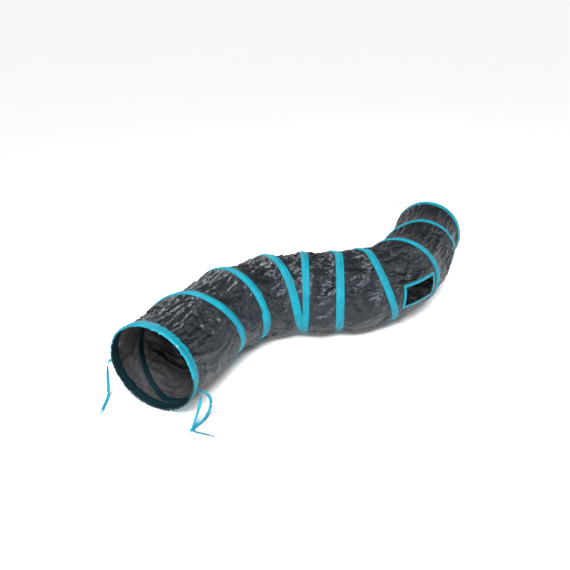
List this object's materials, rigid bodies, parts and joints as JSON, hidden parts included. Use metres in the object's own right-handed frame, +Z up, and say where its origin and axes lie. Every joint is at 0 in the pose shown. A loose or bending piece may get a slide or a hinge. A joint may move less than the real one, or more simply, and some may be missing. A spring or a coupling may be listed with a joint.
{
  "type": "agility tunnel",
  "caption": "Collapsible fabric play and agility tunnel for small dogs, lying in a gentle bend, with a taped spiral spring wire, open mouths, a small side window and ribbon ties.",
  "frame": {"origin": "middle of the footprint of the tube, without the loose ties, on the floor", "axes": "+X from the front mouth's centre to the rear mouth's centre, +Z up, the tube's near side with the window faces -Y"},
  "size_m": [1.4117, 0.4722, 0.2516],
  "materials": {
    "nylon": "thin crinkled coated nylon, dark grey",
    "tape": "woven polyester tape, cyan",
    "facing": "woven polyester tape, dark teal, seen only through the mouths",
    "ribbon": "woven satin-edged ribbon, cyan, ends sealed pale",
    "spring_wire": "bright drawn spring steel"
  },
  "bodies": {
    "front_end": {"front_rim_binding": "tape", "front_rim_wire": "spring_wire", "tie_left": "ribbon", "tie_right_a": "ribbon", "tie_right_b": "ribbon"},
    "section_1": {"fabric_1": "nylon", "coil_wire_1": "spring_wire", "coil_tape_1": "tape", "facing_tape_1": "facing"},
    "section_2": {"fabric_2": "nylon", "coil_wire_2": "spring_wire", "coil_tape_2": "tape", "facing_tape_2": "facing"},
    "section_3": {"fabric_3": "nylon", "coil_wire_3": "spring_wire", "coil_tape_3": "tape", "facing_tape_3": "facing"},
    "section_4": {"fabric_4": "nylon", "coil_wire_4": "spring_wire", "coil_tape_4": "tape", "facing_tape_4": "facing"},
    "section_5": {"fabric_5": "nylon", "coil_wire_5": "spring_wire", "coil_tape_5": "tape", "facing_tape_5": "facing"},
    "section_6": {"fabric_6": "nylon", "coil_wire_6": "spring_wire", "coil_tape_6": "tape", "facing_tape_6": "facing"},
    "section_7": {"fabric_7": "nylon", "coil_wire_7": "spring_wire", "coil_tape_7": "tape", "facing_tape_7": "facing", "window_binding": "tape"},
    "section_8": {"fabric_8": "nylon", "coil_wire_8": "spring_wire", "coil_tape_8": "tape", "facing_tape_8": "facing"},
    "section_9": {"fabric_9": "nylon", "coil_wire_9": "spring_wire", "coil_tape_9": "tape", "facing_tape_9": "facing", "rear_rim_binding": "tape", "rear_rim_wire": "spring_wire"}
  },
  "joints": [
    {"name": "fold_1", "type": "hinge", "parent": "front_end", "child": "section_1", "pos_m": [0.41235, -2.65389, 0.1258], "axis": [0, 0, 1], "range_deg": [0, 4.01], "deforming": ["fabric_1", "coil_wire_1", "coil_tape_1", "facing_tape_1"]},
    {"name": "fold_2", "type": "hinge", "parent": "section_1", "child": "section_2", "pos_m": [-0.2679, -0.33889, 0.1258], "axis": [0, 0, 1], "range_deg": [0, 18.01], "deforming": ["fabric_2", "coil_wire_2", "coil_tape_2", "facing_tape_2"]},
    {"name": "fold_3", "type": "hinge", "parent": "section_2", "child": "section_3", "pos_m": [-0.25605, -0.14329, 0.1258], "axis": [0, 0, 1], "range_deg": [0, 32], "stiffness_Nm_per_rad": 8, "springref_deg": -5.73, "deforming": ["fabric_3", "coil_wire_3", "coil_tape_3", "facing_tape_3"]},
    {"name": "fold_4", "type": "hinge", "parent": "section_3", "child": "section_4", "pos_m": [-0.26064, -0.16496, 0.1258], "axis": [0, 0, 1], "range_deg": [0, 12.01], "deforming": ["fabric_4", "coil_wire_4", "coil_tape_4", "facing_tape_4"]},
    {"name": "fold_5", "type": "hinge", "parent": "section_4", "child": "section_5", "pos_m": [0.44896, 0.53023, 0.1258], "axis": [0, 0, -1], "range_deg": [0, 8.01], "deforming": ["fabric_5", "coil_wire_5", "coil_tape_5", "facing_tape_5"]},
    {"name": "fold_6", "type": "hinge", "parent": "section_5", "child": "section_6", "pos_m": [0.2341, 0.23315, 0.1258], "axis": [0, 0, -1], "range_deg": [0, 20.01], "deforming": ["fabric_6", "coil_wire_6", "coil_tape_6", "facing_tape_6"]},
    {"name": "fold_7", "type": "hinge", "parent": "section_6", "child": "section_7", "pos_m": [0.22179, 0.16604, 0.1258], "axis": [0, 0, -1], "range_deg": [0, 24.01], "deforming": ["fabric_7", "coil_wire_7", "coil_tape_7", "facing_tape_7", "window_binding"]},
    {"name": "fold_8", "type": "hinge", "parent": "section_7", "child": "section_8", "pos_m": [0.19214, 0.47887, 0.1258], "axis": [0, 0, -1], "range_deg": [0, 20.01], "deforming": ["fabric_8", "coil_wire_8", "coil_tape_8", "facing_tape_8"]},
    {"name": "fold_9", "type": "hinge", "parent": "section_8", "child": "section_9", "pos_m": [0.8978, -0.86718, 0.1258], "axis": [0, 0, 1], "range_deg": [0, 9.01], "deforming": ["fabric_9", "coil_wire_9", "coil_tape_9", "facing_tape_9"]}
  ],
  "couplings": [
    {"joint": "fold_1", "follows": "fold_3", "ratio": 0.125},
    {"joint": "fold_2", "follows": "fold_3", "ratio": 0.5625},
    {"joint": "fold_4", "follows": "fold_3", "ratio": 0.375},
    {"joint": "fold_5", "follows": "fold_3", "ratio": 0.25},
    {"joint": "fold_6", "follows": "fold_3", "ratio": 0.625},
    {"joint": "fold_7", "follows": "fold_3", "ratio": 0.75},
    {"joint": "fold_8", "follows": "fold_3", "ratio": 0.625},
    {"joint": "fold_9", "follows": "fold_3", "ratio": 0.28125}
  ]
}
